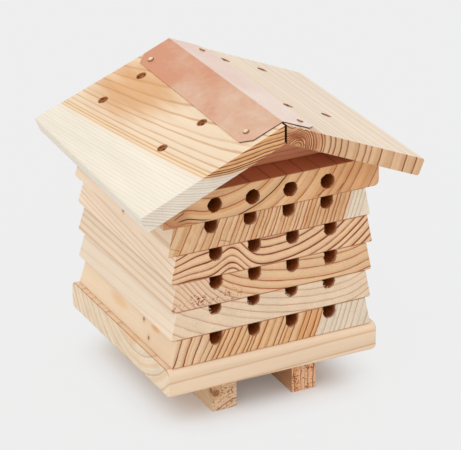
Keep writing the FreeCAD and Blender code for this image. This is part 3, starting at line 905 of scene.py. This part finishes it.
logs = {
    "top_block": Log(
        pith=(-40, 212), wander=0.4, humps=((-72, 150, 8, -4.5, 0), (-58, 150, 9, 0.5, 0)),
        rings=(40, 51.5, 60, 68.5, 77.5, 87.5, 98.5, 104, 110, 116.3, 128.5, 138),
        end=rgb(0.785, 0.495, 0.265), late_end=rgb(0.33, 0.05, 0.004),
        # upper: painted shade on the top face, under the roof
        upper=rgb(0.42, 0.085, 0.018), late_start=0.25, dark_end=0.8, width=0.62, flush=0.9,
        shakes=((66, -67, -46), (68.4, -26, 13)),
        checks=((32, 146.5, 42, 152, 0.8), (46.5, 146.5, 52, 152, 0.8),
                (-70, 150.5, -63, 154.5, 1.0)),
        stains=(((52, 154, -70), (34, 22, 60), rgb(0.70, 0.32, 0.12), 0.5),
                ((-72, 150, -70), (18, 10, 60), rgb(0.50, 0.20, 0.075), 0.6))),
    "tray_5": Log(
        pith=(-282, 238), wander=0.5, sap=353.3,
        rings=(225, 234, 243, 252, 256.5, 261.6, 266.7, 271.3, 275, 278, 281.5, 285.2, 289, 292.2,
               295, 297.4, 300.8, 303, 306.4, 309, 311.2, 314.6, 317.4, 319.6, 323, 325.2, 328.4,
               331.6, 334, 337.2, 339.6, 343, 345.4, 348.8, 352, 355, 358, 361, 364),
        side=rgb(0.92, 0.735, 0.55), end=rgb(0.78, 0.52, 0.30), sap_end=rgb(0.83, 0.70, 0.55),
        late_end=rgb(0.36, 0.085, 0.02), late_start=0.3, dark_end=0.85, width=0.65, flush=0.9,
        checks=((-75, 132, -66, 128, 0.4), (-38, 130, -30, 127, 0.5)),
        stains=(((40, 135, -70), (20, 14, 60), rgb(0.66, 0.36, 0.16), 0.5),),
        knots=((-73, 130, 0, 1.4, 0.9),)),
    "tray_4": Log(
        pith=(-1, 200.7), drift=(0, 0.11), wander=0.25,
        humps=((-28.5, 113, 11.5, 11.6, 0), (-85, 113, 26, -27, -0.8)),
        rings=(52, 58, 64, 70, 75.4, 80.8, 87.2, 92.4, 97, 100.9, 106.2, 110.4, 114.5, 118.5, 123),
        side=rgb(0.925, 0.735, 0.555), end=rgb(0.84, 0.55, 0.33),
        late_side=rgb(0.66, 0.39, 0.19), late_end=rgb(0.20, 0.028, 0.005),
        dark_side=0.7, dark_end=1.15, width=0.76, width_side=0.55),
    "tray_3": Log(
        pith=(45, 300), wander=0.3, humps=((-75, 95, 28, 24, 0), (74, 95, 14, 3, 0)), sap=224,
        rings=(181, 187, 193, 198.5, 204.7, 212, 217.5, 222, 226.5, 231, 235.5, 240, 244.5, 248,
               252.5, 257, 262, 267),
        side=rgb(0.85, 0.68, 0.50), end=rgb(0.785, 0.525, 0.305),
        sap_side=rgb(0.85, 0.68, 0.51), sap_end=rgb(0.79, 0.555, 0.37),
        late_end=rgb(0.40, 0.08, 0.015), late_sap=rgb(0.42, 0.16, 0.06),
        late_start=0.45, dark_side=2.4, width=0.65, width_side=1.2, flush=0.3,
        specks=((-55, 90.5, 9, 6, 1.0), (-30, 91, 10, 6, 1.0),
                (-68, 87, 6, 4.5, 0.8), (-42, 87, 7, 4, 0.8))),
    "tray_2": Log(
        pith=(47, 265.8), drift=(0, -0.045), wander=0.35, humps=((78, 75, 14, 7, 0),),
        rings=(175, 180, 184.8, 189.5, 194.3, 199.5, 204.4, 209.5, 217.1, 225.3, 231.6, 237, 242),
        side=rgb(0.88, 0.72, 0.55), end=rgb(0.815, 0.63, 0.45), late_end=rgb(0.46, 0.16, 0.06),
        late_start=0.6, dark_side=0.26, dark_end=0.54, width=0.6, flush=0.2,
        knots=((-70, 84.5, -36, 0.9, 0.5),)),
    "tray_1": Log(
        pith=(-166, 124.4), wander=0.35, humps=((-68, 51, 20, 0, 0.3),), sap=213.6,
        rings=(101, 106, 111, 115.5, 120.9, 126.2, 131.5, 136.6, 140.5, 144.7, 147.5, 151.5, 155.8,
               159.9, 164.2, 166.6, 168.9, 173.6, 179.4, 184.3, 187.7, 190.3, 194.7, 200.6, 204.4,
               209.2, 212.4, 218.2, 223.1, 226.1, 229.7, 233.4, 238, 242.8, 247.5, 252),
        side=rgb(0.88, 0.675, 0.47), end=rgb(0.79, 0.50, 0.26), late_end=rgb(0.25, 0.038, 0.006),
        late_start=0.4, dark_side=0.2, dark_end=1.05, width=0.56, flush=0.55,
        bands=((199, 212, rgb(0.72, 0.29, 0.08), 0.75), (124, 129, rgb(0.70, 0.34, 0.12), 0.6),
               (142.5, 147, rgb(0.72, 0.38, 0.14), 0.5)),
        stains=(((-66, 55, -70), (26, 24, 60), rgb(0.84, 0.61, 0.40), 0.8),
                ((-71, 57.4, 16), (8, 5, 19), rgb(0.84, 0.49, 0.22), 0.6),
                ((-70.3, 60.7, -39.5), (8, 3, 9), rgb(0.80, 0.42, 0.17), 0.9)),
        knots=((-70.4, 59.9, -22, 1.4, 0.8), (-72.2, 51.2, -32.5, 1.4, 0.8))),
    "roof_board_left": Log(
        lies=along_left_roof, pith=(10, 127), drift=(0, -0.064), wander=0.2, sap=143.4,
        humps=((-2, 0, 16, -5, 0), (40, 0, 80, 0, 0.27)),
        rings=(118, 120, 122.2, 124.4, 126.5, 128.8, 130.9, 133.4, 134.8, 137.1, 139, 140.7, 141.7,
               142.8, 144.4, 145.6, 147, 148.3, 149.5, 151, 152.4, 153.6, 155, 156.6, 158, 159.6,
               161, 162.8, 164.4, 166, 168, 170),
        side=rgb(0.86, 0.68, 0.485), end=rgb(0.80, 0.455, 0.21),
        sap_side=rgb(0.85, 0.775, 0.65), sap_end=rgb(0.79, 0.71, 0.60),
        late_side=rgb(0.56, 0.26, 0.075), late_end=rgb(0.22, 0.06, 0.018),
        # near-black painted shade in the ridge joint
        late_sap=rgb(0.62, 0.50, 0.38), seam=rgb(0.02, 0.008, 0.004),
        late_start=0.3, dark_side=0.62, dark_end=1.0, soft_side=0.16,
        width=0.5, width_side=0.3,
        bands=((139.5, 143.2, rgb(0.85, 0.52, 0.19), 0.35),),
        stains=(((42, 0, 52), (36, 40, 66), rgb(0.70, 0.38, 0.17), 0.9),)),
    "roof_board_right": Log(
        lies=along_right_roof, pith=(13, -12), wander=0.4,
        humps=((6, -8, 5, 2.6, 0.5), (17, -6, 4, -1.4, 0)),
        rings=(2.2, 4, 6.2, 7.8, 9.2, 10.8, 12.5, 14.6, 19, 20.9, 25.2, 28.6, 33, 38, 46.4, 51.8,
               56.3, 64.3, 74.2, 84.2, 92.2, 101),
        side=rgb(0.87, 0.735, 0.585), end=rgb(0.715, 0.47, 0.28),
        late_side=rgb(0.72, 0.51, 0.32), late_end=rgb(0.29, 0.065, 0.008),
        # near-black painted shade in the ridge joint
        seam=rgb(0.02, 0.008, 0.004),
        late_start=0.4, dark_side=0.65, dark_end=1.0, soft_side=0.5, width=0.72,
        bands=((-2, 18, rgb(0.50, 0.21, 0.085), 0.9),),
        checks=((18, -9, 21, -12, 0.7), (10, -6, 16, -7, 0.6)),
        stains=(((11, -5.5, -88), (9, 3.5, 9), rgb(0.30, 0.11, 0.045), 0.95),
                ((15, -10.5, -88), (6, 2, 9), rgb(0.74, 0.48, 0.22), 0.8),
                ((27, -6, -88), (4, 20, 60), rgb(0.62, 0.30, 0.14), 0.6))),
    "base_board": Log(
        lies=along_right, pith=(-20, 95), drift=(0, 0.03), wander=0.5,
        rings=(45, 55, 67, 77, 85, 92, 99, 105, 111, 117, 123, 129),
        side=rgb(0.845, 0.64, 0.455), end=rgb(0.86, 0.71, 0.53), late_end=rgb(0.55, 0.36, 0.23),
        late_start=0.6, dark_side=0.9, dark_end=0.6,
        stains=(((-12, 43, -78), (16, 4, 12), rgb(0.84, 0.54, 0.28), 0.6),)),
    "bearer_left": Log(
        pith=(-10, -35), ring=2.4, wander=0.5,
        side=rgb(0.84, 0.60, 0.38), end=rgb(0.85, 0.62, 0.42), late_end=rgb(0.40, 0.18, 0.08),
        flush=0.9, specks=((-30, 9, 13, 14, 0.95),),
        knots=((-36, 13.5, -58.5, 3.0, 0.95), (-38, 15, -56, 2.6, 0.8))),
    "bearer_right": Log(
        pith=(180, 10), ring=3.4,
        # its sides are painted reddish brown, as painted shade under the base
        side=rgb(0.60, 0.29, 0.14), end=rgb(0.92, 0.545, 0.32), late_end=rgb(0.30, 0.08, 0.02),
        dark_end=1.1, flush=1.0, specks=((30, 10, 14, 18, 1.0),),
        bands=((152, 155, rgb(0.90, 0.66, 0.46), 1.0), (145, 148, rgb(0.90, 0.66, 0.46), 0.9))),
    "gable_support_front": Log(
        lies=along_right, pith=(-20, 320),
        # redder and darker than the back support, as painted shade under the roof's overhang
        side=rgb(0.86, 0.385, 0.215), late_side=rgb(0.46, 0.17, 0.075)),
    "gable_support_back": Log(
        lies=along_right, pith=(20, 330),
        side=rgb(0.84, 0.54, 0.34), late_side=rgb(0.55, 0.27, 0.12)),
}
peg_log = Log(lies=along_up, pith=(0, 40), ring=1.6, wander=0.3, side=rgb(0.80, 0.60, 0.40),
              end=rgb(0.72, 0.50, 0.31), dark_side=0.35, dark_end=0.4)

# Body of each CAD node.
body_of = {node: body for body, empty in frame["bodies"].items()
           for node, part in frame["nodes"].items() if part.parent is empty}

for node, log in logs.items():
    pine = Pine(node + "_pine", log).material
    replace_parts(add_piece(node, "wood", worked_wood(node), pine, wood_crease), node)
splinters("tray_2", bpy.data.materials["tray_2_pine"])

peg_wood = Pine("peg_wood", peg_log).material
# copper: the paler right wing is a painted reflection, and the dark edge colour is painted shade
copper = edged_metal("copper", rgb(1.0, 0.68, 0.47), rgb(0.90, 0.38, 0.195), rgb(0.09, 0.02, 0.01),
                     lump=24, roughness=0.32, towards_back=0.3, coat=1.0,
                     painted_light=rgb(0.90, 0.70, 0.585))
# brass: the dark rim colour is painted shade round the domed heads
brass = edged_metal("pin_brass", rgb(1.0, 0.93, 0.70), rgb(0.92, 0.62, 0.24),
                    rgb(0.24, 0.04, 0.008), lump=1.7, roughness=0.2, metallic=0.5)
steel = plain_metal("screw_steel", rgb(0.80, 0.38, 0.12), rgb(0.26, 0.085, 0.025),
                    lump=1.8, roughness=0.34)
cap_sheet("ridge_cap", copper)
pins("ridge_cap_pins", brass)
for node, axis in (*roof_fixings.values(), ("bearer_screws", UP), ("gable_screws", -UP)):
    screws(node, axis, steel)
for node, part in frame["nodes"].items():
    if "pegs" in node:
        part.data.materials.clear()
        part.data.materials.append(peg_wood)


def outwards(turned, rise):
    """Way to a place that is so many degrees round from the front, and above the house."""
    turned, rise = radians(turned), radians(rise)
    return Vector((sin(turned) * cos(rise), -cos(turned) * cos(rise), sin(rise)))


def studio():
    """Pale floor, soft key light from the upper left and an even glow all round."""
    floor_mesh = bpy.data.meshes.new("floor")
    r = floor_reach
    corners = [(-r, -r, 0), (r, -r, 0), (r, r, 0), (-r, r, 0)]
    floor_mesh.from_pydata(corners, [], [(0, 1, 2, 3)])
    floor = bpy.data.objects.new("floor", floor_mesh)
    bpy.context.scene.collection.objects.link(floor)
    sheet = Coat("floor_paper")
    lit = sheet.node("BsdfDiffuse", {}, {"Color": floor_tone})
    bare = sheet.node("Emission", {}, {"Color": floor_tone})
    out_x, out_y = [sheet.math("MAXIMUM", abs(sheet.dot(sheet.spot, axis)) - shadow_core, 0.0)
                    for axis in (RIGHT, BACK)]
    away = sheet.rise(sheet.math("SQRT", out_x * out_x + out_y * out_y), 0.0, shadow_fade)
    veil = veil_near + (veil_far - veil_near) * away
    veil = veil * sheet.node("LightPath", {}, {}, "Is Camera Ray")
    sheet.node("OutputMaterial", {}, {0: sheet.node("MixShader", {}, {0: veil, 1: lit, 2: bare})})
    floor_mesh.materials.append(sheet.material)

    world = bpy.data.worlds.new("studio")
    bpy.context.scene.world = world
    room = Finish(world)
    height = room.dot(room.node("TexCoord", {}, {}, "Generated"), UP)
    height = room.math("MAXIMUM", height, 0.0)
    sky = horizon_glow + (overhead_glow - horizon_glow) * height
    mirrored = mirror_horizon + (mirror_overhead - mirror_horizon) * height
    glow = room.mix(room.node("LightPath", {}, {}, "Is Glossy Ray"), sky, mirrored)
    glow = room.mix(room.node("LightPath", {}, {}, "Is Camera Ray"), glow, floor_tone)
    room.node("OutputWorld", {}, {0: room.node("Background", {}, {"Color": glow})})

    lamp = bpy.data.lights.new("key", "SUN")
    lamp.energy = key_strength
    lamp.angle = radians(key_spread)
    key = bpy.data.objects.new("key", lamp)
    key.rotation_mode = "QUATERNION"
    key.rotation_quaternion = outwards(key_turn, key_rise).to_track_quat("Z", "Y")
    key.visible_glossy = False
    bpy.context.scene.collection.objects.link(key)


def photo_camera():
    """Camera that stands where the photograph was taken."""
    turned, roll = radians(camera_turn), radians(camera_roll)
    back = outwards(camera_turn, camera_rise)
    level = Vector((cos(turned), sin(turned), 0))
    upright = back.cross(level)
    right = level * cos(roll) + upright * sin(roll)
    up = upright * cos(roll) - level * sin(roll)
    data = bpy.data.cameras.new("photo_camera")
    data.sensor_width = camera_sensor
    data.lens = camera_lens
    camera = bpy.data.objects.new("photo_camera", data)
    turned_to = Matrix((right, up, back)).transposed().to_4x4()
    camera.matrix_world = Matrix.Translation(camera_aim + back * camera_distance) @ turned_to
    bpy.context.scene.collection.objects.link(camera)
    bpy.context.scene.camera = camera


studio()
photo_camera()
bpy.context.scene.view_settings.view_transform = "Standard"
